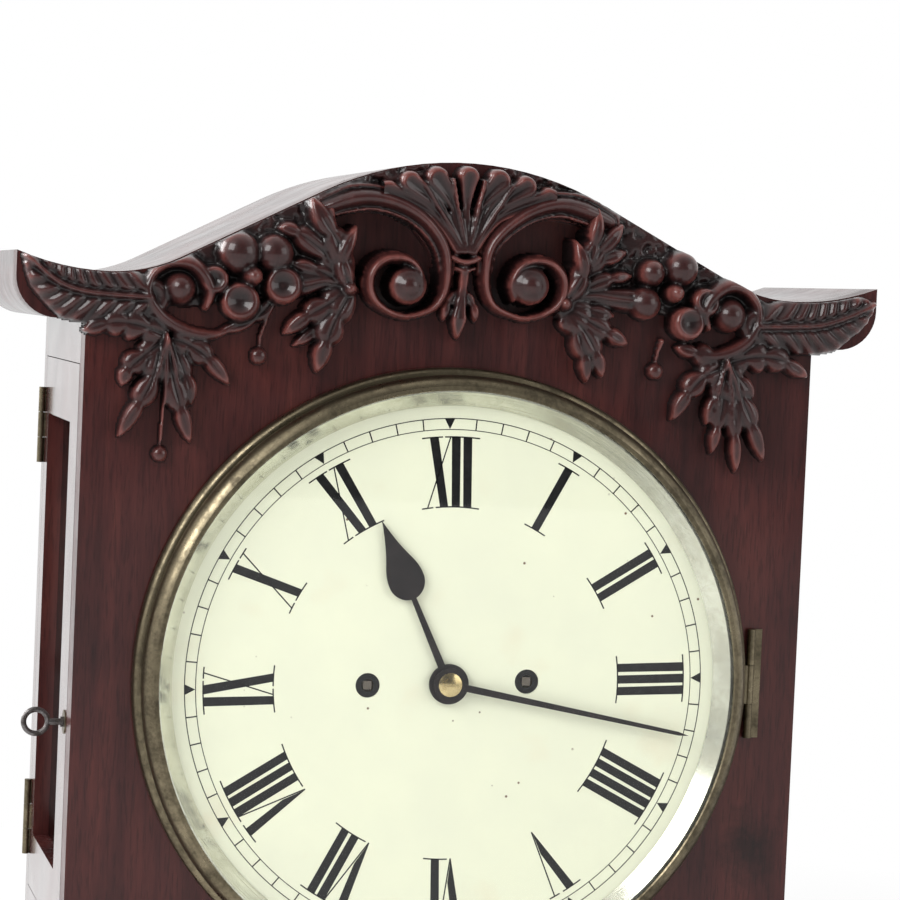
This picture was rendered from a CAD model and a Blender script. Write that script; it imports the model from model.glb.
# %% [markdown]
# # A carved bracket clock
# The clock's wooden case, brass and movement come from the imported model, which is the fixed frame.
# This lesson dresses them: it paints the dial, cuts the carving as fine relief and gives every
# piece the finish of the real thing.  Everything is in metres, with Z up and the front facing -Y.

from math import atan2, cos, degrees, pi, radians, sin, sqrt

import bmesh
import bpy
import numpy as np
from mathutils import Matrix, Vector


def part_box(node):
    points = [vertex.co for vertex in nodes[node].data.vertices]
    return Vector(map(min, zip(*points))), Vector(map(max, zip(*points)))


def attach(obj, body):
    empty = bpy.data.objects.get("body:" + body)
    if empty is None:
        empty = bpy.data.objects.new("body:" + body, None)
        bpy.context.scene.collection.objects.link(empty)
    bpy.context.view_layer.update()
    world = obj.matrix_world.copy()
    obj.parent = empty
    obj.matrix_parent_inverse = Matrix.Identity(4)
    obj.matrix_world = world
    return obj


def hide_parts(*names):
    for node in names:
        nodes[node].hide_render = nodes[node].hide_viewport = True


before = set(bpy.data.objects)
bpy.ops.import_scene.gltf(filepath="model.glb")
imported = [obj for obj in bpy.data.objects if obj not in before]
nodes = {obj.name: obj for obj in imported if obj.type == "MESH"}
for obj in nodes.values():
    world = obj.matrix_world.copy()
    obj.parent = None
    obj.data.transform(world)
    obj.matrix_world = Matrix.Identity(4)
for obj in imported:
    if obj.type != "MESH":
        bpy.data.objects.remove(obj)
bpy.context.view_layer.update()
mm = 0.001

# %% [markdown]
# The dial's centre and the face of the front board are the two places that everything on the
# front is measured from.  Both are read from the frame: the dial plate is round, so its box gives
# the centre, and the seat ring behind it starts at the board's face.

# %% Find the dial's centre and the board's face
dial_low, dial_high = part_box("dial_plate")
seat_low, seat_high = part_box("dial_seat")
centre_x = (dial_low.x + dial_high.x) / 2
centre_z = (dial_low.z + dial_high.z) / 2
face_y = seat_high.y
dial_y = dial_low.y
print("dial centre:", round(centre_x, 5), round(centre_z, 5))
print("board's face:", round(face_y, 5), "dial's face:", round(dial_y, 5))

# %% [markdown]
# The camera stands where the photographer stood: to the left of the clock, a little above the
# dial, with a long lens.  Its tilt is small but real, so it is set from three angles.

# %% Camera
camera_place = Vector((-0.4003, -1.6953, 0.4969))
yaw = radians(13.87)
pitch = radians(-2.76)
tilt = radians(2.51)
lens_length = 121.99
sensor_width = 36.0

forward = Vector((sin(yaw) * cos(pitch), cos(yaw) * cos(pitch), sin(pitch)))
level_right = Vector((cos(yaw), -sin(yaw), 0))
level_up = level_right.cross(forward)
right = cos(tilt) * level_right + sin(tilt) * level_up
up = cos(tilt) * level_up - sin(tilt) * level_right
camera_data = bpy.data.cameras.new("camera")
camera_data.lens = lens_length
camera_data.sensor_width = sensor_width
camera_data.sensor_fit = "HORIZONTAL"
camera = bpy.data.objects.new("camera", camera_data)
turned = Matrix((right, up, -forward)).transposed().to_4x4()
camera.matrix_world = Matrix.Translation(camera_place) @ turned
bpy.context.scene.collection.objects.link(camera)
bpy.context.scene.camera = camera
print("camera at", tuple(camera_place), "looks along", [round(x, 3) for x in forward])

# %% [markdown]
# A small helper writes node trees in one line per node.  An input given as a socket is linked, and
# any other value is set, so each finish below reads like a recipe.

# %% Helper for node trees
def add_node(tree, kind, settings=None, inputs=None):
    """A new node; settings are its options, and inputs are values or sockets by name or place."""
    made = tree.nodes.new(kind)
    for name, value in (settings or {}).items():
        setattr(made, name, value)
    for name, value in (inputs or {}).items():
        if isinstance(value, bpy.types.NodeSocket):
            tree.links.new(value, made.inputs[name])
        else:
            made.inputs[name].default_value = value
    return made


print("node helper: add_node")

# %% [markdown]
# Most colours here come from a number between 0 and 1.  Three helpers carry that: one turns a
# number into a colour by stops, one maps a span of numbers to another, and one mixes two colours.

# %% Helpers for colours
def ramp(tree, factor, stops):
    """Turns a number into a colour by stops of (place, colour)."""
    made = add_node(tree, "ShaderNodeValToRGB", inputs={"Fac": factor})
    band = made.color_ramp
    while len(band.elements) < len(stops):
        band.elements.new(0.5)
    for element, (place, colour) in zip(band.elements, stops):
        element.position, element.color = place, (*colour, 1)
    return made.outputs["Color"]


def remap(tree, value, low, high, to_low=0.0, to_high=1.0):
    """Maps a number from one span to another and holds it there."""
    made = add_node(tree, "ShaderNodeMapRange", inputs={
        "Value": value, "From Min": low, "From Max": high, "To Min": to_low, "To Max": to_high})
    return made.outputs["Result"]


def blend(tree, factor, first, second):
    """Mixes two colours; the node keeps its colour sockets at places 6 and 7."""
    inputs = {0: factor}
    for place, value in ((6, first), (7, second)):
        inputs[place] = value if isinstance(value, bpy.types.NodeSocket) else (*value, 1)
    return add_node(tree, "ShaderNodeMix", {"data_type": "RGBA"}, inputs).outputs[2]


def weighted(tree, parts, start=0.0):
    """Adds values, each times its weight, to a start value."""
    total = start
    for value, weight in parts:
        total = add_node(tree, "ShaderNodeMath", {"operation": "MULTIPLY_ADD"},
                         {0: value, 1: weight, 2: total}).outputs[0]
    return total


print("colour helpers: ramp, remap, blend, weighted")

# %% [markdown]
# Wood, metal and old paint all drift by place.  The place is the object's own coordinates, so the
# pattern stays on a piece when it moves.  Stretching them along one axis gives wood its grain.

# %% Helpers for patterns
def noise(tree, where, size, detail=3.0, rough=0.5):
    """Cloudy noise whose blobs are about size metres across."""
    made = add_node(tree, "ShaderNodeTexNoise", inputs={
        "Vector": where, "Scale": 1 / size, "Detail": detail, "Roughness": rough})
    return made.outputs["Fac"]


def stretched(tree, factors, start=(0, 0, 0)):
    """Object coordinates from a start point, scaled along each axis."""
    coordinates = add_node(tree, "ShaderNodeTexCoord").outputs["Object"]
    moved = add_node(tree, "ShaderNodeVectorMath", {"operation": "SUBTRACT"},
                     {0: coordinates, 1: start}).outputs["Vector"]
    return add_node(tree, "ShaderNodeVectorMath", {"operation": "MULTIPLY"},
                    {0: moved, 1: factors}).outputs["Vector"]


def distance_from(tree, factors, start):
    """How far a point is from a start, along the axes that the factors keep."""
    return add_node(tree, "ShaderNodeVectorMath", {"operation": "LENGTH"},
                    {0: stretched(tree, factors, start)}).outputs["Value"]


everywhere = (1, 1, 1)
origin = (0, 0, 0)
print("pattern helpers: noise, stretched, distance_from")

# %% [markdown]
# Every finish is a Principled shader.  Its plain values are set straight on the shader's sockets,
# which keeps them readable for whoever opens the material, and small relief goes in as bump.

# %% Helpers for a finish
def new_finish(name, **values):
    """A material with its shader; values are set on the shader's own sockets."""
    material = bpy.data.materials.new(name)
    material.use_nodes = True
    tree = material.node_tree
    shader = tree.nodes["Principled BSDF"]
    for socket, value in values.items():
        shader.inputs[socket.replace("_", " ")].default_value = value
    return material, tree, shader


def bump(tree, shader, height, depth):
    """Gives the shader a bump of this depth in metres."""
    made = add_node(tree, "ShaderNodeBump", inputs={"Height": height, "Distance": depth, "Strength": 1.0})
    tree.links.new(made.outputs["Normal"], shader.inputs["Normal"])


def math(tree, operation, first, second):
    """One sum on two values."""
    return add_node(tree, "ShaderNodeMath", {"operation": operation}, {0: first, 1: second}).outputs[0]


print("finish helpers: new_finish, bump, math")

# %% [markdown]
# The clock stands on a pale floor that fades to white away from it.  A big disc of matt paint is
# enough, since only its colour and the clock's shadow are seen.  The white comes from a second
# shader that only camera and mirror rays meet, so it lights nothing and the shadow stays.

# %% Floor
floor_radius, floor_sides = 6.0, 96
fade_from, fade_to = 0.35, 1.1
floor_grey = (0.83, 0.83, 0.83, 1)


def make_floor():
    """A round floor whose colour fades to white away from the clock."""
    turns = [2 * pi * n / floor_sides for n in range(floor_sides)]
    rim = [(floor_radius * cos(turn), floor_radius * sin(turn), 0) for turn in turns]
    mesh = bpy.data.meshes.new("floor")
    mesh.from_pydata(rim, [], [list(range(floor_sides))])
    floor = bpy.data.objects.new("floor", mesh)
    bpy.context.scene.collection.objects.link(floor)
    material, tree, shader = new_finish(
        "floor_paint", Roughness=0.9, Base_Color=floor_grey, Specular_IOR_Level=0.1)
    away = remap(tree, distance_from(tree, everywhere, origin), fade_from, fade_to)
    path = add_node(tree, "ShaderNodeLightPath")
    seen = math(tree, "MAXIMUM", path.outputs["Is Camera Ray"], path.outputs["Is Glossy Ray"])
    share = math(tree, "MULTIPLY", away, seen)
    white = add_node(tree, "ShaderNodeEmission", inputs={"Color": (1, 1, 1, 1), "Strength": 1.0})
    mixed = add_node(tree, "ShaderNodeMixShader", inputs={
        0: share, 1: shader.outputs[0], 2: white.outputs[0]})
    tree.links.new(mixed.outputs[0], tree.nodes["Material Output"].inputs["Surface"])
    mesh.materials.append(material)


# %% [markdown]
# Round the clock is a white surround.  It is white where it is seen or seen through glass.  What
# the front mirrors is the dim room behind the camera, so for mirror rays that way it is nearly
# dark.  For everything else it is an even soft light.

# %% Surround
studio_level = 0.58
room_level = 0.07
room_y, open_y = -0.7, -0.05


def make_surround():
    """The world: soft light for the object, white where it is seen, dim where the front mirrors it."""
    world = bpy.data.worlds.new("studio")
    bpy.context.scene.world = world
    world.use_nodes = True
    tree = world.node_tree
    tree.nodes.clear()
    toward = add_node(tree, "ShaderNodeTexCoord").outputs["Generated"]
    axes = add_node(tree, "ShaderNodeSeparateXYZ", inputs={0: toward})
    level = remap(tree, axes.outputs["Y"], room_y, open_y, room_level, 1.0)
    mirrored = add_node(tree, "ShaderNodeCombineColor", inputs={0: level, 1: level, 2: level}).outputs[0]
    path = add_node(tree, "ShaderNodeLightPath")
    soft = blend(tree, path.outputs["Is Glossy Ray"], (studio_level,) * 3, mirrored)
    clear = math(tree, "MAXIMUM", path.outputs["Is Camera Ray"], path.outputs["Is Transmission Ray"])
    colour = blend(tree, clear, soft, (1, 1, 1))
    light = add_node(tree, "ShaderNodeBackground", inputs={"Color": colour, "Strength": 1.0})
    out = add_node(tree, "ShaderNodeOutputWorld")
    tree.links.new(light.outputs[0], out.inputs["Surface"])


make_surround()
make_floor()
print("studio level:", studio_level, "room level:", room_level)

# %% [markdown]
# Three soft lamps shape the clock.  The strongest stands front left like a window, a weak one fills
# the right, and one behind on the left makes the polished side glare as it does in the photograph.

# %% Lamps
def make_lamp(name, place, target, size, power):
    """A soft square lamp that looks at a point."""
    data = bpy.data.lights.new(name, "AREA")
    data.shape = "SQUARE"
    data.size = size
    data.energy = power
    lamp = bpy.data.objects.new(name, data)
    lamp.location = place
    lamp.rotation_euler = (Vector(target) - Vector(place)).to_track_quat("-Z", "Y").to_euler()
    bpy.context.scene.collection.objects.link(lamp)


make_lamp("window_left", (-2.2, -1.3, 1.9), (0, 0, 0.35), 1.6, 70)
make_lamp("fill_right", (2.2, -1.9, 1.3), (0, 0, 0.3), 1.8, 24)
make_lamp("back_left", (-2.4, 1.6, 1.4), (0, 0, 0.3), 1.6, 80)
bpy.context.scene.view_settings.view_transform = "Standard"
print("lamps:", len(bpy.data.lights))

# %% [markdown]
# The case is french polished mahogany: a clear hard film over red-brown wood.  Grain is noise
# stretched along the board, in three sizes: broad figure, narrow streaks and fine open pores.
# The polish is the shader's coat, and the wear is a change of its roughness.

# %% Mahogany
deep_red = (0.017, 0.0036, 0.0036)
middle_red = (0.045, 0.0092, 0.0084)
light_red = (0.085, 0.019, 0.015)
drift_size, figure_size, streak_size, pore_size = 0.09, 0.02, 0.0035, 0.0004
grain_squeeze = 0.09
pore_squeeze = 0.35
stain_place = (0.18, 0, 0.198)
stain_core, stain_rim = 0.018, 0.036


def stained(tree, colour):
    """Darkens a ragged patch of the front, low on the right."""
    away = distance_from(tree, (1, 0, 0.8), stain_place)
    ragged = weighted(tree, [(noise(tree, stretched(tree, everywhere), 0.012, 4, 0.7), 0.03)], away)
    stain = remap(tree, ragged, stain_core, stain_rim, 0.8, 0.0)
    return blend(tree, stain, colour, tuple(0.25 * c for c in deep_red))


def mahogany(name, along, coat=0.35, patch=False):
    """Polished mahogany whose grain runs along one axis."""
    material, tree, shader = new_finish(
        name, Coat_Weight=coat, Coat_Roughness=0.12, Specular_IOR_Level=0.2)
    squeeze = tuple(grain_squeeze if axis == along else 1 for axis in "xyz")
    grain = stretched(tree, squeeze)
    drift = noise(tree, stretched(tree, (1, 1, 0.5)), drift_size, 3)
    streaks = noise(tree, grain, streak_size, 6, 0.65)
    figure = noise(tree, grain, figure_size, 4, 0.6)
    together = weighted(tree, [(figure, 0.55), (streaks, 0.3), (drift, 0.5)])
    colour = ramp(tree, together, [(0.5, deep_red), (0.66, middle_red), (0.86, light_red)])
    fine = stretched(tree, tuple(pore_squeeze * k for k in squeeze))
    pores = remap(tree, noise(tree, fine, pore_size, 2), 0.52, 0.66)
    colour = blend(tree, remap(tree, pores, 0, 1, 0, 0.35), colour, tuple(0.3 * c for c in deep_red))
    if patch:
        colour = stained(tree, colour)
    tree.links.new(colour, shader.inputs["Base Color"])
    wear = noise(tree, stretched(tree, everywhere), 0.03, 4, 0.6)
    tree.links.new(remap(tree, wear, 0.35, 0.7, 0.28, 0.5), shader.inputs["Roughness"])
    bump(tree, shader, blend(tree, 0.5, pores, streaks), -0.00006)
    return material


front_wood = mahogany("mahogany_front", "z", patch=True)
upright_wood = mahogany("mahogany_upright", "z", coat=1.0)
level_wood = mahogany("mahogany_level", "x")
deep_wood = mahogany("mahogany_roof", "y", coat=0.6)
print("mahogany finishes:", [wood.name for wood in (front_wood, upright_wood, level_wood, deep_wood)])

# %% [markdown]
# Brass that nobody polishes goes brown and dull, first in patches and in the corners.  The bezel is
# such a piece, turned on a lathe, so it also has very fine rings round its centre.  The movement's
# brass stays brighter inside the closed case.

# %% A recipe for metal
ring_pitch = 1 / 2500
steel_grey = (0.16, 0.15, 0.15)
arbor_ahead, arbor_behind = -0.002, 0.02


def turned_rings(tree, shader):
    """Very fine rings round the dial's centre, as a lathe leaves them."""
    away = distance_from(tree, (1, 0, 1), (centre_x, 0, centre_z))
    line = add_node(tree, "ShaderNodeTexNoise", {"noise_dimensions": "1D"},
                    {"W": away, "Scale": 1 / ring_pitch, "Detail": 2}).outputs["Fac"]
    bump(tree, shader, line, 0.00003)


def metal(name, bright, dull, patch, rough, metallic=1.0, rings=False, grain=0.0, steel_ahead=False):
    """Metal whose colour and gloss change in patches of a given size."""
    material, tree, shader = new_finish(name, Metallic=metallic)
    plain = stretched(tree, everywhere)
    cloud = noise(tree, plain, patch, 5, 0.65)
    speck = noise(tree, plain, patch / 9, 3, 0.6)
    worn = weighted(tree, [(speck, 0.4)], cloud)
    share = remap(tree, worn, 0.55, 0.85)
    colour = blend(tree, share, bright, dull)
    if steel_ahead:
        place = add_node(tree, "ShaderNodeSeparateXYZ", inputs={0: plain}).outputs["Y"]
        ahead = remap(tree, place, dial_y + arbor_ahead, dial_y + arbor_behind, 1.0, 0.0)
        colour = blend(tree, ahead, blend(tree, worn, bright, dull), steel_grey)
    tree.links.new(colour, shader.inputs["Base Color"])
    tree.links.new(remap(tree, share, 0, 1, *rough), shader.inputs["Roughness"])
    if rings:
        turned_rings(tree, shader)
    elif grain:
        bump(tree, shader, noise(tree, plain, grain, 3), 0.00005)
    return material


# %% [markdown]
# Each metal is one call of the recipe: its bright colour, its dull colour, the size of its patches
# and its span of roughness.  The fusees' squared front ends are steel, so their finish changes to
# grey in front of the movement.  The sight ring is silvered brass, less than fully metallic.

# %% Metals
bezel_brass = metal("brass_bezel", (0.22, 0.185, 0.12), (0.09, 0.075, 0.05), 0.02, (0.27, 0.5), rings=True)
mirror_brass = metal("brass_sight_ring", (0.80, 0.80, 0.70), (0.66, 0.65, 0.55), 0.03, (0.1, 0.2),
                     metallic=0.85, rings=True)
fresh_brass = metal("brass_fresh", (0.70, 0.56, 0.30), (0.5, 0.38, 0.18), 0.015, (0.2, 0.36), grain=0.002)
works_colours = (0.66, 0.50, 0.24), (0.42, 0.30, 0.14)
works_brass = metal("brass_movement", *works_colours, 0.03, (0.25, 0.42), grain=0.003)
fusee_brass = metal("brass_fusee", *works_colours, 0.03, (0.25, 0.42), grain=0.003, steel_ahead=True)
dark_steel = metal("steel_dark", (0.22, 0.21, 0.21), (0.07, 0.06, 0.055), 0.006, (0.32, 0.6), grain=0.001)
works_steel = metal("steel_movement", (0.52, 0.52, 0.53), (0.32, 0.31, 0.3), 0.01, (0.22, 0.4), grain=0.001)
bell_alloy = metal("bell_alloy", (0.62, 0.55, 0.42), (0.44, 0.38, 0.27), 0.02, (0.25, 0.4), grain=0.004)
print("metals: bezel, sight ring, fresh, movement, fusee, dark steel, steel, bell")

# %% [markdown]
# The hands are blued almost to black, the figures are black paint, and the lines are gut.  None of
# them is metal to the eye, so they share a plainer recipe: one colour that drifts into another.

# %% Blueing, black paint and gut
def paint(name, colour, second, patch, rough, grain=0.0):
    """Paint, blueing or string: a colour that drifts a little, with a slight grain."""
    material, tree, shader = new_finish(name, Roughness=rough, Specular_IOR_Level=0.2)
    plain = stretched(tree, everywhere)
    share = remap(tree, noise(tree, plain, patch, 4, 0.6), 0.35, 0.65)
    tree.links.new(blend(tree, share, colour, second), shader.inputs["Base Color"])
    if grain:
        bump(tree, shader, noise(tree, plain, grain, 3), 0.00004)
    return material


hand_black = paint("hand_blueing", (0.008, 0.006, 0.007), (0.02, 0.015, 0.016), 0.008, 0.4, grain=0.002)
figure_black = paint("figure_black", (0.004, 0.004, 0.005), (0.012, 0.012, 0.013), 0.004, 0.5)
gut_line = paint("gut_line", (0.42, 0.30, 0.15), (0.30, 0.2, 0.1), 0.01, 0.6, grain=0.001)
print("paints: hands, figures, gut")

# %% [markdown]
# The dial is an iron disc with cream paint.  After a century it has faint grey clouds, a little
# foxing, and pin-sized rust spots where the paint was chipped.  The spots are the middles of the
# cells of a cell pattern, kept only where a second noise is high, so that they fall here and there.

# %% Dial paint
cream, grey_cream = (0.86, 0.87, 0.69), (0.82, 0.83, 0.67)
foxed, rust = (0.78, 0.66, 0.48), (0.16, 0.09, 0.045)
cell_size = 1 / 90


def make_dial_paint():
    """Aged cream paint."""
    material, tree, shader = new_finish("dial_paint", Roughness=0.38, Specular_IOR_Level=0.4)
    plain = stretched(tree, everywhere)
    cloud = remap(tree, noise(tree, plain, 0.05, 5, 0.6), 0.38, 0.7)
    colour = blend(tree, cloud, cream, grey_cream)
    elsewhere = stretched(tree, everywhere, (0.3, 0, 0.1))
    foxing = remap(tree, noise(tree, elsewhere, 0.035, 4, 0.5), 0.6, 0.8, 0, 0.35)
    colour = blend(tree, foxing, colour, foxed)
    cells = add_node(tree, "ShaderNodeTexVoronoi", inputs={
        "Vector": plain, "Scale": 1 / cell_size, "Randomness": 1.0})
    dot = remap(tree, cells.outputs["Distance"], 0.05, 0.08, 1.0, 0.0)
    picked = remap(tree, noise(tree, stretched(tree, everywhere, (0.05, 0, 0)), 0.02, 2), 0.56, 0.6)
    colour = blend(tree, math(tree, "MULTIPLY", dot, picked), colour, rust)
    tree.links.new(colour, shader.inputs["Base Color"])
    bump(tree, shader, noise(tree, plain, 0.012, 4), 0.00008)
    return material


dial_paint = make_dial_paint()
print("dial paint:", dial_paint.name)

# %% [markdown]
# The glass over the dial is thin and flat, so it bends nothing: it is clear, with a weak mirror that
# grows towards the edge of view.  A Transparent shader mixed with a Glossy one says that, and lets
# the lamps reach the dial.  The side panes are the same glass, but dark.

# %% Glass
mirror_face_on, mirror_edge_on = 0.04, 0.9


def make_glass(name, tint):
    """A thin clear pane that mirrors on its outer faces only."""
    material = bpy.data.materials.new(name)
    material.use_nodes = True
    tree = material.node_tree
    tree.nodes.clear()
    facing = add_node(tree, "ShaderNodeLayerWeight", inputs={"Blend": 0.5}).outputs["Facing"]
    steep = math(tree, "POWER", facing, 5.0)
    both = remap(tree, steep, 0.0, 1.0, mirror_face_on, mirror_edge_on)
    inner = add_node(tree, "ShaderNodeNewGeometry").outputs["Backfacing"]
    edge = math(tree, "MULTIPLY", both, remap(tree, inner, 0, 1, 1.0, 0.0))
    clear = add_node(tree, "ShaderNodeBsdfTransparent", inputs={"Color": (*tint, 1)})
    mirror = add_node(tree, "ShaderNodeBsdfGlossy", inputs={"Roughness": 0.02})
    mixed = add_node(tree, "ShaderNodeMixShader", inputs={0: edge, 1: clear.outputs[0], 2: mirror.outputs[0]})
    out = add_node(tree, "ShaderNodeOutputMaterial")
    tree.links.new(mixed.outputs[0], out.inputs["Surface"])
    return material


dial_glass = make_glass("glass_dial", (0.985, 0.99, 0.98))
side_glass = make_glass("glass_side", (0.36, 0.40, 0.37))
print("glass:", dial_glass.name, side_glass.name)

# %% [markdown]
# Each piece from the frame now gets its finish.  Names are matched by their beginning, so that a
# left and a right piece share one line.

# %% Finishes for the pieces of the frame
finishes = [
    ("case_front", front_wood), ("roof", deep_wood), ("back_board", upright_wood),
    ("case_side", upright_wood), ("side_door", upright_wood), ("plinth", level_wood),
    ("feet", level_wood), ("dial_seat", front_wood), ("carved", front_wood),
    ("base_board", level_wood), ("seatboard", level_wood),
    ("bezel_ring", bezel_brass), ("sight_ring", mirror_brass), ("bezel_hinge_leaf", bezel_brass),
    ("case_hinge_plates", bezel_brass), ("left_hinge", bezel_brass), ("right_hinge", bezel_brass),
    ("lock_bolt", works_steel), ("lock_", bezel_brass), ("key_left", dark_steel),
    ("dial_plate", dial_paint), ("bezel_glass", dial_glass), ("side_glass", side_glass),
    ("hour_hand", hand_black), ("minute_hand", hand_black), ("hand_collet", fresh_brass),
    ("bell_stand", works_steel), ("bell", bell_alloy), ("fusee_lines", gut_line),
    ("anchor", works_steel), ("pendulum_rod", works_steel), ("hammer", works_steel),
    ("seat_bolts", dark_steel), ("going_fusee", fusee_brass), ("strike_fusee", fusee_brass),
    ("strike_fly", works_steel), ("", works_brass),
]
for name, node in nodes.items():
    finish = next(material for start, material in finishes if name.startswith(start))
    node.data.materials.clear()
    node.data.materials.append(finish)
print("finished", len(nodes), "pieces of the frame")

# %% [markdown]
# The figures and the minute track were painted on the dial with a brush.  Here each stroke is a
# very thin raised sheet, so its edge stays crisp at any distance.  A figure is drawn as a local
# shape with its foot towards the centre, and then turned to its hour.

# %% Sheets of paint on the dial
def dial_point(radius, angle, proud):
    """A point over the dial: radius and height in millimetres, angle in degrees clockwise."""
    turn = radians(angle)
    return (centre_x + radius * sin(turn) * mm, dial_y - proud * mm, centre_z + radius * cos(turn) * mm)


def sheets(name, outlines, proud, sunk=0.05):
    """One mesh of thin closed sheets; each outline is a list of (radius, angle)."""
    points, faces = [], []
    for outline in outlines:
        count, first = len(outline), len(points)
        points += [dial_point(r, a, proud) for r, a in outline]
        points += [dial_point(r, a, -sunk) for r, a in outline]
        faces.append([first + n for n in range(count)])
        faces.append([first + count + n for n in reversed(range(count))])
        for n in range(count):
            after = (n + 1) % count
            faces.append([first + n, first + count + n, first + count + after, first + after])
    mesh = bpy.data.meshes.new(name)
    mesh.from_pydata(points, [], faces)
    face_outwards(mesh)
    piece = bpy.data.objects.new(name, mesh)
    bpy.context.scene.collection.objects.link(piece)
    mesh.materials.append(figure_black)
    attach(piece, "case")
    return piece


def face_outwards(mesh):
    """Turns every face outwards."""
    work = bmesh.new()
    work.from_mesh(mesh)
    bmesh.ops.recalc_face_normals(work, faces=work.faces)
    work.to_mesh(mesh)
    work.free()


def band(r_low, r_high, a_low, a_high, pieces=1):
    """Outlines of a flat band between two radii, cut in pieces along its length."""
    made = []
    for n in range(pieces):
        a, b = (a_low + (a_high - a_low) * k / pieces for k in (n, n + 1))
        made.append([(r_low, a), (r_high, a), (r_high, b), (r_low, b)])
    return made


def collar(x, z, inner, outer, name):
    """A black ring low in a winding hole."""
    count = 48
    rings = [(inner, -0.6), (outer, -0.6), (outer, -1.0), (inner, -1.0)]
    points = [(centre_x + (x + r * cos(2 * pi * n / count)) * mm, dial_y - high * mm,
               centre_z + (z + r * sin(2 * pi * n / count)) * mm) for n in range(count) for r, high in rings]
    faces = [[4 * n + k, 4 * n + (k + 1) % 4, 4 * ((n + 1) % count) + (k + 1) % 4, 4 * ((n + 1) % count) + k]
             for n in range(count) for k in range(4)]
    mesh = bpy.data.meshes.new(name)
    mesh.from_pydata(points, [], faces)
    face_outwards(mesh)
    piece = bpy.data.objects.new(name, mesh)
    bpy.context.scene.collection.objects.link(piece)
    mesh.materials.append(figure_black)
    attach(piece, "case")


dial_turn = -2.04
track_out, track_in = 144.5, 138.5
paint_high = 0.06
track = []
for radius, wide in ((track_out, 0.5), (track_in, 0.45)):
    track += band(radius - wide / 2, radius + wide / 2, 0, 360, 240)
for minute in range(60):
    angle = dial_turn + 6 * minute
    if minute % 5:
        half = degrees(0.36 / track_out)
        track += band(track_in, track_out, angle - half, angle + half)
    else:
        half = degrees(2.9 / track_out)
        track.append([(track_out, angle - half), (track_out, angle + half), (track_in + 0.2, angle)])
sheets("minute_track", track, paint_high)
for word, side in (("left", -1), ("right", 1)):
    swing = radians(-dial_turn)
    collar(side * 44.5 * cos(swing), side * 44.5 * sin(swing), 3.5, 6.6, f"winding_hole_{word}")
print("minute track sheets:", len(track))

# %% [markdown]
# Every figure is made of thick strokes, thin strokes and hairline feet.  A stroke is given by how
# far to the side it stands at the head and at the foot, and its ends follow the circle round the
# centre.  Feet that touch are joined into one line, as a sign painter would draw them.

# %% Figures
head, foot = 134.5, 96.5
thick_head, thick_foot, thin = 4.9, 4.55, 0.75
serif, reach = 0.75, 4.4
pitch_of_ones = 6.45


def stroke(at_head, at_foot, wide_head, wide_foot):
    """A stroke whose two ends lie on the head and foot circles, as (side, radius) corners."""
    return [(at_foot - wide_foot / 2, foot), (at_head - wide_head / 2, head),
            (at_head + wide_head / 2, head), (at_foot + wide_foot / 2, foot)]


def figure(word):
    """Strokes and feet of one figure, with its middle at side 0."""
    strokes, heads, feet, x = [], [], [], 0.0
    for letter in word:
        if letter == "I":
            strokes.append(stroke(x, x, thick_head, thick_foot))
            heads.append((x, thick_head))
            feet.append((x, thick_foot))
            x += pitch_of_ones
        elif letter == "V":
            tip = x + 4.0
            strokes.append([(tip - 0.3, foot - 0.3), (x - thick_head / 2, head), (x + thick_head / 2, head),
                            (tip + 1.5, foot + 13)])
            strokes.append([(tip - 0.3, foot - 0.3), (x + 10.2 - thin / 2, head),
                            (x + 10.2 + thin / 2, head), (tip + 0.4, foot - 0.3)])
            heads += [(x, thick_head), (x + 10.2, thin)]
            x += 12.6
        else:
            strokes.append(stroke(x, x + 5.8, thick_head, thick_foot))
            strokes.append(stroke(x + 9.2, x - 3.4, thin, thin))
            heads += [(x, thick_head), (x + 9.2, thin)]
            feet += [(x + 5.8, thick_foot), (x - 3.4, thin)]
            x += 12.3
    return strokes, heads, feet


def joined(ends):
    """Spans of the hairline feet, with those that touch joined."""
    spans = []
    outer_low = min(c - w / 2 for c, w in ends)
    outer_high = max(c + w / 2 for c, w in ends)
    for centre, wide in sorted(ends):
        near = 2.4 if wide > 2 else 2.8
        low = centre - wide / 2 - (reach if centre - wide / 2 == outer_low and wide > 2 else near)
        high = centre + wide / 2 + (reach if centre + wide / 2 == outer_high and wide > 2 else near)
        if spans and low <= spans[-1][1]:
            spans[-1][1] = max(high, spans[-1][1])
        else:
            spans.append([low, high])
    return spans


def as_polar(corners, middle, angle):
    """Corners as (side, radius) turned to an hour, as (radius, angle)."""
    return [(radius, angle + degrees(atan2(side - middle, sqrt(radius**2 - (side - middle) ** 2))))
            for side, radius in corners]


figures = []
words = ["XII", "I", "II", "III", "IIII", "V", "VI", "VII", "VIII", "IX", "X", "XI"]
for hour, word in enumerate(words):
    strokes, heads, feet = figure(word)
    sides = [side for corners in strokes for side, radius in corners]
    middle, angle = (min(sides) + max(sides)) / 2, dial_turn + 30 * hour
    figures += [as_polar(corners, middle, angle) for corners in strokes]
    for radius, ends in ((head, heads), (foot, feet)):
        for low, high in joined(ends) if ends else []:
            first, last = (degrees((side - middle) / radius) for side in (low, high))
            figures += band(radius - serif / 2, radius + serif / 2, angle + first, angle + last, 6)
sheets("hour_figures", figures, paint_high)
print("strokes and feet:", len(figures))

# %% [markdown]
# The carving was cut with gouges from thick blanks and glued to the board.  In the lesson it is a
# relief: a fine grid over the board in which every point has a height.  A carver thinks the same
# way, because a chisel only ever lowers the wood.  Each leaf, petal and scroll below is a hill on the
# grid, and where hills meet the higher one stays.

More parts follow.
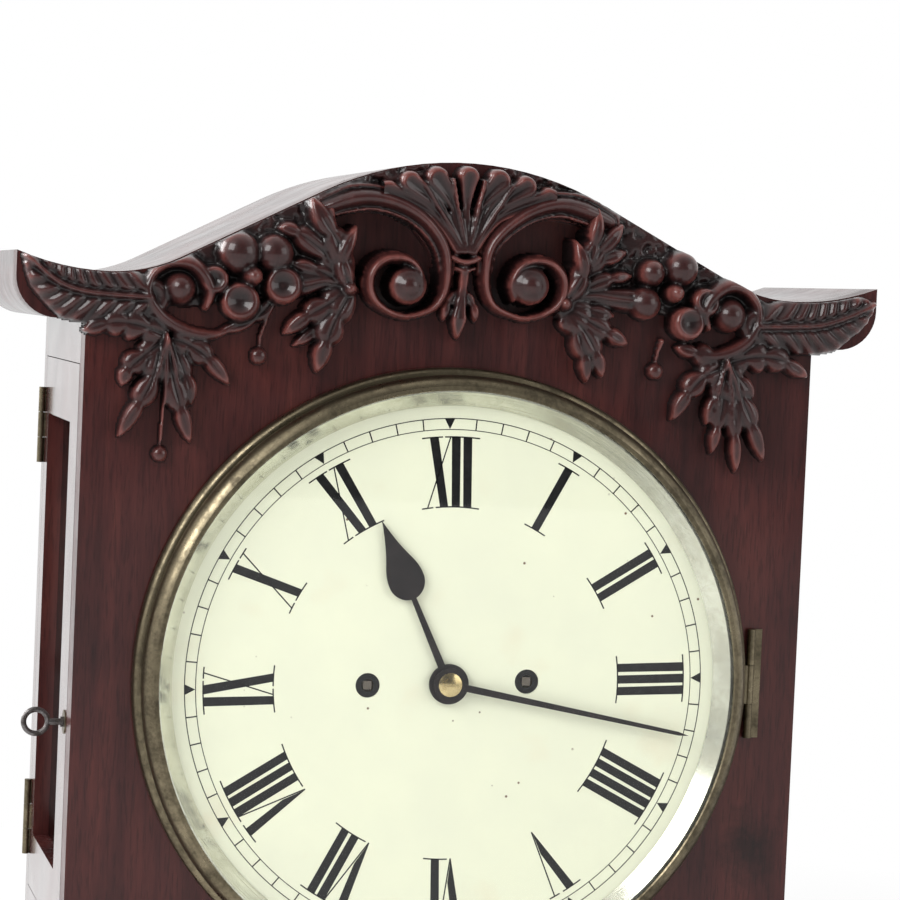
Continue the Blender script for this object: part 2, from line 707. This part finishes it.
# %% A grid that carries the relief
grid_step = 0.8
board_inside = -1.0
pocket_floor = -9.4
scroll_pocket = [(42, 203.5), (32, 201), (22, 203), (16, 212), (15, 222), (21, 237), (33, 249),
                 (53, 254), (75, 248), (66, 225)]


def smooth_path(points, count=36):
    """A Catmull-Rom curve through points of any size, sampled evenly by number."""
    knots = np.array([points[0], *points, points[-1]], float)
    made = []
    for n in range(len(points) - 1):
        a, b, c, d = knots[n:n + 4]
        for t in np.linspace(0, 1, max(2, count // (len(points) - 1)), endpoint=False):
            made.append(0.5 * (2 * b + (c - a) * t + (2 * a - 5 * b + 4 * c - d) * t**2
                               + (3 * b - a - 3 * c + d) * t**3))
    return np.array(made + [knots[-1]])


def inside(polygon, x, z):
    """Which grid points lie within a polygon."""
    odd = np.zeros(x.shape, bool)
    for (xa, za), (xb, zb) in zip(polygon, polygon[1:] + polygon[:1]):
        if za != zb:
            crosses = (za > z) != (zb > z)
            odd ^= crosses & (x < (xb - xa) * (z - za) / (zb - za) + xa)
    return odd


class Relief:
    """Heights in millimetres over part of the front board."""

    def __init__(self, x_span, z_span):
        xs = np.arange(x_span[0], x_span[1] + grid_step, grid_step)
        zs = np.arange(z_span[0], z_span[1] + grid_step, grid_step)
        self.x, self.z = np.meshgrid(xs, zs, indexing="ij")
        self.floor = np.full(self.x.shape, board_inside)
        for side in (-1, 1):
            pocket = [(side * x, z) for x, z in scroll_pocket]
            self.floor[inside(pocket, self.x, self.z)] = pocket_floor
        self.height = self.floor.copy()

    def window(self, x_low, x_high, z_low, z_high):
        """The part of the grid within a box, as slices."""
        i = np.clip(((np.array([x_low, x_high]) - self.x[0, 0]) / grid_step).astype(int) + (0, 2),
                    0, self.x.shape[0])
        j = np.clip(((np.array([z_low, z_high]) - self.z[0, 0]) / grid_step).astype(int) + (0, 2),
                    0, self.x.shape[1])
        return slice(i[0], i[1]), slice(j[0], j[1])

    def add(self, part, hill):
        """Raises the relief to a hill where the hill is higher."""
        self.height[part] = np.maximum(self.height[part], hill)

    def along(self, path, reach):
        """For points near a path: the window, share along it, signed side distance."""
        low, high = path[:, :2].min(axis=0) - reach, path[:, :2].max(axis=0) + reach
        part = self.window(low[0], high[0], low[1], high[1])
        x, z = self.x[part], self.z[part]
        best, share, side = (np.full(x.shape, v) for v in (1e9, 0.0, 0.0))
        last = len(path) - 1
        for n in range(last):
            (xa, za), (xb, zb) = path[n, :2], path[n + 1, :2]
            dx, dz = xb - xa, zb - za
            t = np.clip(((x - xa) * dx + (z - za) * dz) / (dx * dx + dz * dz + 1e-9), 0, 1)
            px, pz = x - xa - t * dx, z - za - t * dz
            away = np.hypot(px, pz)
            nearer = away < best
            best[nearer] = away[nearer]
            share[nearer] = ((n + t) / last)[nearer]
            side[nearer] = (np.sign(dx * pz - dz * px) * away)[nearer]
        return part, share, side


print("relief grid step:", grid_step, "mm")

# %% [markdown]
# Four strokes of the gouge make everything: a ball for eyes and berries, a cup for an open petal,
# a rounded band for stems and scrolls, and a leaf.  A leaf has a sunk midrib and lobes with a
# gouge mark between each pair.

# %% Strokes of the gouge
def ball(relief, x, z, radius, high, base=3.0, flat=0.5):
    """A ball or button; a smaller flat gives a flatter face."""
    part = relief.window(x - radius, x + radius, z - radius, z + radius)
    away = np.hypot(relief.x[part] - x, relief.z[part] - z) / radius
    hill = base + (high - base) * np.clip(1 - away**2, 0, 1) ** flat
    relief.add(part, np.where(away < 1, hill, pocket_floor))


def cup(relief, x, z, radius, high, deep=4.0, lean=(0.0, 0.0), base=3.0):
    """An open petal: a rim with a hollow that leans to one side."""
    part = relief.window(x - radius, x + radius, z - radius, z + radius)
    dx, dz = (relief.x[part] - x) / radius, (relief.z[part] - z) / radius
    away = np.hypot(dx, dz)
    hill = base + (high - base) * np.clip(1 - away**4, 0, 1) ** 0.4
    hollow = np.hypot(dx - lean[0], dz - lean[1]) / 0.72
    hill -= deep * np.clip(1 - hollow**2, 0, 1)
    relief.add(part, np.where(away < 1, hill, pocket_floor))


def roll(relief, points, widths, highs, bead=False, flute=0.0, power=0.5, base=2.5):
    """A rounded band along a path; bead gives it a fillet, and flute cuts lines along it."""
    path = smooth_path(points, 60)
    part, share, side = relief.along(path, max(widths) / 2 + 1)
    places = np.linspace(0, 1, len(widths))
    half = np.interp(share, places, widths) / 2
    top = np.interp(share, np.linspace(0, 1, len(highs)), highs)
    s = np.abs(side) / half
    hill = base + (top - base) * np.clip(1 - s**2, 0, 1) ** power
    if bead:
        lip = base + (top - base) * 0.72 * np.clip(1 - ((s - 0.86) / 0.14) ** 2, 0, 1) ** 0.5
        inner = base + (top - base) * np.clip(1 - (s / 0.74) ** 2, 0, 1) ** power
        hill = np.maximum(inner, np.where(s > 0.72, lip, 0))
    if flute:
        hill -= flute * (0.5 - 0.5 * np.cos(side / half * 3 * pi)) * (s < 0.9)
    relief.add(part, np.where(s < 1, hill, pocket_floor))


def leaf(relief, points, wide, high, lobes=3, base=1.5, tip=0.75):
    """A carved leaf along its midrib."""
    path = smooth_path(points, 32)
    part, share, side = relief.along(path, wide / 2 + 1)
    lean = np.clip(share - 0.10 * np.abs(side) / (wide / 2), 0, 1)
    body = np.sin(pi * np.clip(share, 0.0, 1) ** 0.72) ** 0.62
    notch = np.abs(np.sin(pi * (lobes * lean + 0.15)))
    half = wide / 2 * body * (0.66 + 0.34 * notch**0.6) + 0.05
    s = np.abs(side) / half
    rise = np.interp(share, [0, 0.25, 0.7, 1], [0.7, 0.95, 1.0, tip])
    hill = base + (high * rise - base) * np.clip(1 - s**3, 0, 1) ** 0.42
    hill -= 2.2 * np.exp(-(side / 0.9) ** 2) * np.clip(1.15 - share, 0, 1)
    hill -= 2.6 * (1 - notch) ** 2 * np.clip(s, 0, 1) * (share > 0.1) * (share < 0.92)
    relief.add(part, np.where(s < 1, hill, pocket_floor))


def tongue(relief, points, widths, highs, hollow=2.6, base=3.0):
    """A lobe of the shell: a hollow channel between two rims, with a round end."""
    path = smooth_path(points, 32)
    part, share, side = relief.along(path, max(widths) / 2 + 1)
    half = np.interp(share, np.linspace(0, 1, len(widths)), widths) / 2
    top = np.interp(share, np.linspace(0, 1, len(highs)), highs)
    s = np.abs(side) / half
    hill = base + (top - base) * np.clip(1 - s**5, 0, 1) ** 0.5
    hill -= hollow * np.cos(np.clip(s / 0.8, 0, 1) * pi / 2) ** 1.5 * np.clip(share * 1.6, 0, 1)
    relief.add(part, np.where(s < 1, hill, pocket_floor))


def stippled(relief, polygon, high, seed):
    """A low ground with the marks of a small round punch."""
    xs, zs = ([p[k] for p in polygon] for k in (0, 1))
    part = relief.window(min(xs), max(xs), min(zs), max(zs))
    x, z = relief.x[part], relief.z[part]
    hill = np.full(x.shape, float(high))
    random = np.random.default_rng(seed)
    for px, pz in zip(random.uniform(min(xs), max(xs), 420), random.uniform(min(zs), max(zs), 420)):
        near = (np.abs(x - px) < 3) & (np.abs(z - pz) < 3)
        hill[near] -= 1.5 * np.exp(-((x[near] - px) ** 2 + (z[near] - pz) ** 2) / 1.3)
    hill = np.maximum(hill, 0.4)
    relief.add(part, np.where(inside(polygon, x, z), hill, pocket_floor))


print("strokes: ball, cup, roll, leaf, tongue, stippled")

# %% [markdown]
# The relief must end where the board's serpentine top ends.  A ray sent down onto the board at
# every column of the grid finds that edge, and anything above it is cut away.  A slight blur then
# takes off the digital crispness, as sanding does.

# %% Turn a relief into a piece
def top_edge(x):
    """Height of the board's top edge at a column, in millimetres over the dial's centre."""
    start = Vector((centre_x + x * mm, face_y + 4 * mm, centre_z + 0.5))
    hit, where, normal, index = nodes["case_front"].ray_cast(start, Vector((0, 0, -1)))
    return (where.z - centre_z) / mm if hit else 0.0


def soften(values, times=1):
    """A small blur over the grid."""
    for _ in range(times):
        padded = np.pad(values, 1, mode="edge")
        across = (padded[:-2] + 2 * padded[1:-1] + padded[2:]) / 4
        values = (across[:, :-2] + 2 * across[:, 1:-1] + across[:, 2:]) / 4
    return values


def make_relief(relief, name, node):
    """A mesh from the relief, without the parts that lie inside the board."""
    edge = np.array([top_edge(x) for x in relief.x[:, 0]])[:, None]
    raised = relief.height > relief.floor + 0.01
    height = np.where(raised, soften(relief.height), relief.floor)
    rows_over = (relief.z - edge + 0.6) / grid_step
    height = np.where(rows_over > 1, board_inside, height)
    broad = soften(np.where(raised, relief.height, 0.0), 14)
    hollow = np.clip((height - broad) / 7 + 0.5, 0, 1)
    top = raised & (rows_over <= 1)
    wanted = top[:-1, :-1] | top[1:, :-1] | top[:-1, 1:] | top[1:, 1:]
    i, j = np.nonzero(wanted)
    rows = relief.x.shape[1]
    corners = np.stack([i * rows + j, i * rows + j + 1, (i + 1) * rows + j + 1, (i + 1) * rows + j], axis=1)
    used, packed = np.unique(corners, return_inverse=True)
    flat = [v.reshape(-1)[used] for v in (relief.x, height, np.minimum(relief.z, edge - 0.6), hollow)]
    points = np.stack([centre_x + flat[0] * mm, face_y - flat[1] * mm, centre_z + flat[2] * mm], axis=1)
    mesh = bpy.data.meshes.new(name)
    mesh.from_pydata(points.tolist(), [], packed.reshape(-1, 4)[:, ::-1].tolist())
    shade = mesh.attributes.new("hollow", "FLOAT", "POINT")
    shade.data.foreach_set("value", flat[3].astype(np.float32))
    mesh.polygons.foreach_set("use_smooth", [True] * len(mesh.polygons))
    mesh.materials.append(carved_wood)
    piece = bpy.data.objects.new(name, mesh)
    bpy.context.scene.collection.objects.link(piece)
    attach(piece, "case")
    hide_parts(node)
    print(name, "faces:", len(mesh.polygons), "highest:", round(float(relief.height.max()), 1), "mm")


# %% [markdown]
# Carved mahogany looks darker than the board because polish and dust gather in its hollows, and
# fingers and cloths brighten what stands proud.  The mesh carries that as a number per point, how
# far it stands over its surroundings, and the finish turns it into colour and gloss.

# %% Finish of the carving
def make_carved_wood():
    """Dark polished mahogany with bright edges."""
    material, tree, shader = new_finish(
        "mahogany_carved", Coat_Weight=0.5, Coat_Roughness=0.14, Specular_IOR_Level=0.2)
    plain = stretched(tree, (1, 1, 1))
    proud = add_node(tree, "ShaderNodeAttribute", {"attribute_name": "hollow"}).outputs["Fac"]
    clouds = noise(tree, plain, 0.012, 4, 0.6)
    mixed = add_node(tree, "ShaderNodeMath", {"operation": "MULTIPLY_ADD"},
                     {0: clouds, 1: 0.25, 2: proud}).outputs[0]
    colour = ramp(tree, mixed, [(0.3, (0.003, 0.0018, 0.002)), (0.55, (0.010, 0.0036, 0.0038)),
                                (0.8, (0.048, 0.0135, 0.0125)), (1.0, (0.15, 0.045, 0.038))])
    streaks = noise(tree, stretched(tree, (1, 1, 0.12)), 0.003, 5, 0.6)
    colour = blend(tree, remap(tree, streaks, 0.4, 0.7, 0.0, 0.45), colour, (0.02, 0.007, 0.007))
    tree.links.new(colour, shader.inputs["Base Color"])
    tree.links.new(remap(tree, mixed, 0.3, 0.85, 0.62, 0.3), shader.inputs["Roughness"])
    bump(tree, shader, noise(tree, plain, 0.0022, 4, 0.6), 0.00025)
    return material


carved_wood = make_carved_wood()

# %% [markdown]
# In the middle stands a shell of round lobes over a collar, with a small pendant below.  On both
# sides of it a big scroll springs from the crest, runs down, and curls up round an eye.  Behind the
# scroll the board is cut away, so that the scroll stands against the dark.

# %% Shell and pendant
shell = Relief((-48, 48), (180, 284))
lobe_tips = [(-45, 273), (-33, 278.5), (-18, 281.5), (-1, 282.5), (16, 281.8), (31, 279), (44, 273.5)]
for n, (x, z) in enumerate(lobe_tips):
    wide = 13.5 if n % 2 else 15
    knee = (0.42 * x - 1, 238 + 0.5 * (z - 238) - abs(x) * 0.05)
    tongue(shell, [(-1 + 0.12 * x, 234), knee, (x, z - wide / 2 - 1)], [3, 6.5, wide],
           [12.5, 12, 15.5 if n % 2 else 14.5])
for x, z in ((-26, 270), (-9.5, 273.5), (7.5, 273.5), (23.5, 271)):
    roll(shell, [(0.1 * x, 236), (0.45 * x, 250), (x, z)], [1.6, 2.2, 3], [13, 14, 15])
roll(shell, [(-9, 231.5), (-1, 229), (7, 231.5)], [4.5, 5.5, 4.5], [13, 15, 13])
roll(shell, [(-7, 226), (-1, 224.5), (5, 226)], [3, 3.6, 3], [12, 13, 12])
tongue(shell, [(-1, 224), (-2, 210), (-3, 198), (-3, 189)], [7, 6, 10, 4], [12, 12, 13, 9], 1.6)
leaf(shell, [(-2, 214), (-9, 206), (-11, 196)], 8, 10, 2)
leaf(shell, [(-2, 214), (5, 206), (7, 196)], 8, 10, 2)
make_relief(shell, "carved_shell", "carved_palmette")

# %% Big scrolls
arm = [(79, 254.5), (64, 260.5), (50, 261.3), (35.5, 257.5), (23, 249.8), (14.3, 239), (11, 228),
       (11.5, 214), (16.5, 204.5), (25, 200), (33, 198.6), (42, 200.8), (50, 206.3), (53.4, 214),
       (52.4, 222), (47, 228), (40, 230), (32.5, 229), (26.5, 224), (23.5, 216), (26, 208)]
arm_widths = [12, 15.5, 14.5, 13.5, 12.5, 11.5, 10.5, 8.5, 6.5, 5, 5, 5.5, 8, 9.5, 9.5, 9, 8.5, 7.5, 6.5, 5.5, 4]
arm_highs = [10, 14, 15, 15.5, 15.5, 15, 14.5, 13, 12, 11, 11, 12, 14, 15, 15.5, 15.5, 15.5, 15, 14, 12.5, 11]
crest_ground = [(88, 250), (88, 258), (70, 274), (50, 284), (22, 286), (16, 256), (30, 258), (50, 262), (76, 256)]
for side, word, eye_x, eye_z, eye_r in ((-1, "left", 32, 215, 11), (1, "right", 36, 218, 11.5)):
    shift = 0 if side < 0 else 1.5
    scroll = Relief((min(side * 90, side * 2), max(side * 90, side * 2)), (190, 284))
    stippled(scroll, [(side * x, z) for x, z in crest_ground], 4.5, 3)
    roll(scroll, [(side * (x + shift * (x > 20)), z + shift * (x < 60)) for x, z in arm], arm_widths,
         arm_highs, bead=True, power=0.6)
    ball(scroll, side * eye_x, eye_z, eye_r, 16.5, flat=0.28)
    ball(scroll, side * eye_x, eye_z, eye_r * 0.55, 18.2, base=14, flat=0.6)
    make_relief(scroll, f"carved_big_scroll_{word}", f"carved_scroll_{word}")

# %% [markdown]
# From each scroll a run of foliage goes out to the ear: leaves at the scroll's shoulder, a fluted
# calyx, a flower of five petals, a small scroll, the long leaf that fills the ear, and a
# spray that hangs over the corner.  No two halves are alike, because they were cut by eye, so each
# side has its own places.

# %% Places of the left foliage
left_leaves = [
    ([(-64, 212), (-72, 236), (-80, 248), (-87, 261)], 18, 15, 2),
    ([(-70, 236), (-76, 247), (-75, 257)], 9, 13, 2),
    ([(-64, 212), (-69, 228), (-61, 247)], 13, 16.5, 2),
    ([(-64, 214), (-78, 230), (-94, 241), (-104, 243)], 15, 12, 3),
    ([(-66, 214), (-84, 222), (-98, 224)], 11, 12, 2),
    ([(-62, 212), (-76, 203), (-87, 196), (-99, 186)], 17, 13, 3),
    ([(-62, 212), (-71, 196), (-76, 182), (-80, 166)], 19, 14, 3),
    ([(-62, 212), (-66, 202), (-67, 190)], 11, 11, 2),
    ([(-64, 206), (-80, 190), (-93, 180)], 10, 9, 2),
    ([(-161, 183), (-176, 188), (-190, 189), (-206, 184)], 20, 11, 4),
    ([(-161, 182), (-173, 172), (-181, 164), (-184, 155)], 16, 10, 3),
    ([(-159, 182), (-148, 178), (-138, 171), (-126, 158)], 16, 11, 3),
    ([(-159, 180), (-152, 166), (-148, 156), (-146, 146)], 13, 10, 2),
    ([(-163, 178), (-168, 160), (-175, 146), (-185, 128)], 16, 11, 3),
    ([(-160, 178), (-157, 160), (-152, 144), (-146, 126)], 16, 11, 3),
    ([(-104, 206), (-110, 198), (-122, 190), (-136, 186)], 10, 9, 2),
]
left_petals = [("ball", -124, 228.5, 11.5, 18), ("ball", -105, 229, 10.5, 17), ("cup", -123, 202.5, 11, 18),
               ("cup", -137, 213.5, 8, 16), ("cup", -100, 212, 10.5, 17), ("ball", -117, 216.5, 6, 20)]
left_bands = [
    ([(-60, 211), (-76, 216), (-88, 214), (-101, 212)], [6, 10, 15, 18], [10, 12, 13, 13], 1.8),
    ([(-141, 199), (-139, 208), (-143, 216), (-150, 221.5), (-161, 221.5), (-169, 216), (-172, 206), (-166, 195),
      (-154, 187), (-140, 184), (-127, 187)], [5, 8, 10, 9.5, 7, 6, 7, 9, 9, 8, 3], [12, 15, 15, 14, 12, 11, 12, 12, 11, 10, 7], 0),
    ([(-106, 198), (-110, 186), (-111, 177)], [3.5, 2.6, 2.6], [8, 6, 5], 0),
    ([(-161, 184), (-165, 165), (-172, 144)], [2.6, 2, 1.6], [13, 12, 9], 0),
    ([(-161, 184), (-161, 160), (-162, 124)], [2.6, 2.2, 1.8], [13, 12, 6], 0),
    ([(-161, 184), (-156, 165), (-152, 148)], [2.6, 2, 1.6], [13, 12, 9], 0),
]
left_balls = [(-155, 208.5, 9, 17), (-111, 174, 5.2, 7.5), (-162, 120, 4.8, 7), (-64, 212, 5, 16)]
left_ear = [(-170, 203), (-189, 203.5), (-207, 205), (-221, 210), (-236, 222)]
left_ground = [(-80, 262), (-100, 256), (-150, 228), (-176, 214), (-176, 200), (-150, 198), (-110, 206), (-70, 210)]
print("left foliage:", len(left_leaves), "leaves,", len(left_petals), "petals")

# %% Places of the right foliage
right_leaves = [
    ([(56, 210), (68, 236), (72, 250), (73, 263)], 13, 15, 2),
    ([(62, 226), (76, 240), (88, 254)], 14, 14, 2),
    ([(62, 226), (78, 234), (91, 239)], 12, 12, 2),
    ([(56, 210), (65, 226), (60, 245)], 13, 16.5, 2),
    ([(58, 212), (76, 222), (95, 226)], 12, 12, 3),
    ([(56, 208), (72, 206), (86, 203)], 12, 12, 2),
    ([(56, 208), (70, 200), (82, 194), (94, 188)], 17, 13, 3),
    ([(56, 208), (68, 194), (75, 182), (80, 169)], 16, 13, 3),
    ([(56, 208), (64, 194), (69, 180), (71, 166)], 15, 12, 3),
    ([(56, 208), (56, 201), (57, 193)], 9, 10, 2),
    ([(152, 180), (166, 184), (182, 183), (200, 174)], 19, 11, 4),
    ([(152, 178), (160, 171), (169, 161)], 13, 10, 2),
    ([(150, 180), (138, 184), (121, 188)], 15, 10, 3),
    ([(150, 178), (138, 172), (129, 162), (121, 147)], 16, 11, 3),
    ([(151, 176), (146, 160), (141, 145)], 13, 10, 2),
    ([(153, 176), (161, 160), (168, 145), (176, 126)], 16, 11, 3),
    ([(152, 174), (157, 150), (160, 119)], 13, 11, 3),
    ([(151, 174), (149, 152), (145, 129)], 12, 10, 3),
]
right_petals = [("ball", 122, 231, 10, 18), ("ball", 105, 228, 8, 17), ("ball", 102, 211, 9.5, 17),
                ("cup", 126, 201, 10, 18), ("cup", 136, 213, 8.5, 16), ("ball", 118, 217.5, 5.8, 20)]
right_bands = [
    ([(54, 209), (70, 214), (84, 213), (98, 212)], [6, 9, 13, 15], [10, 12, 13, 13], 1.8),
    ([(139, 199), (136, 208), (141, 217), (150, 222.5), (160, 220.5), (167, 213), (168, 203), (162, 192),
      (150, 185), (137, 184), (126, 187)], [5, 8, 10, 9.5, 7, 6.5, 7, 9, 9, 7, 3], [12, 15, 15, 14, 12, 12, 12, 12, 11, 10, 7], 0),
    ([(114, 191), (112, 184), (111, 177)], [3.5, 2.6, 2.6], [8, 6, 5], 0),
    ([(151, 182), (158, 165), (166, 140)], [2.6, 2, 1.6], [13, 12, 9], 0),
    ([(151, 182), (155, 160), (158, 130)], [2.6, 2.2, 1.6], [13, 12, 8], 0),
    ([(151, 182), (147, 165), (144, 146)], [2.6, 2, 1.6], [13, 12, 9], 0),
]
right_balls = [(151.5, 206.5, 10, 17), (111, 174, 5.2, 7.5), (56, 209, 5, 16)]
right_ear = [(168, 201), (189, 202), (205, 203.5), (220, 208.5), (236, 216)]
right_ground = [(76, 262), (100, 256), (150, 228), (176, 214), (176, 200), (150, 198), (110, 206), (70, 210)]
print("right foliage:", len(right_leaves), "leaves,", len(right_petals), "petals")


# %% Cut the foliage
def ear_leaf(relief, points, side):
    """The long leaf of the ear: a light midrib with slanting gouge marks on both sides."""
    path = smooth_path(points, 40)
    part, share, off = relief.along(path, 24)
    half = np.interp(share, [0, 0.25, 0.6, 0.85, 1], [11, 16, 17, 11, 3])
    s = np.abs(off) / half
    hill = 2.5 + 8.5 * np.clip(1 - s**2.5, 0, 1) ** 0.5
    slant = np.sin(2 * pi * (share * 9 - np.abs(off) / 11))
    hill += 1.1 * slant * np.clip(s * 3, 0, 1) * (s < 0.95)
    hill -= 1.8 * np.exp(-((np.abs(off) - 2.4) / 1.0) ** 2)
    hill += 2.2 * np.exp(-(off / 1.1) ** 2)
    relief.add(part, np.where(s < 1, hill, pocket_floor))


halves = [("left", -1, left_ground, left_leaves, left_petals, left_bands, left_balls, left_ear),
          ("right", 1, right_ground, right_leaves, right_petals, right_bands, right_balls, right_ear)]
for word, side, ground, leaves, petals, bands, balls, ear in halves:
    spray = Relief((min(side * 241, side * 52), max(side * 241, side * 52)), (112, 272))
    stippled(spray, ground, 3.2, 7 + side)
    ear_leaf(spray, ear, side)
    for points, wide, high, lobes in leaves:
        leaf(spray, points, wide, high, lobes)
    for points, widths, highs, flute in bands:
        roll(spray, points, widths, highs, flute=flute)
    for kind, x, z, radius, high in petals:
        if kind == "ball":
            ball(spray, x, z, radius, high, base=6, flat=0.5)
        else:
            cup(spray, x, z, radius, high, 5, (0.12 * side, 0.1), base=6)
    for x, z, radius, high in balls:
        ball(spray, x, z, radius, high, base=2.5)
    make_relief(spray, f"carved_foliage_{word}", f"carved_spray_{word}")
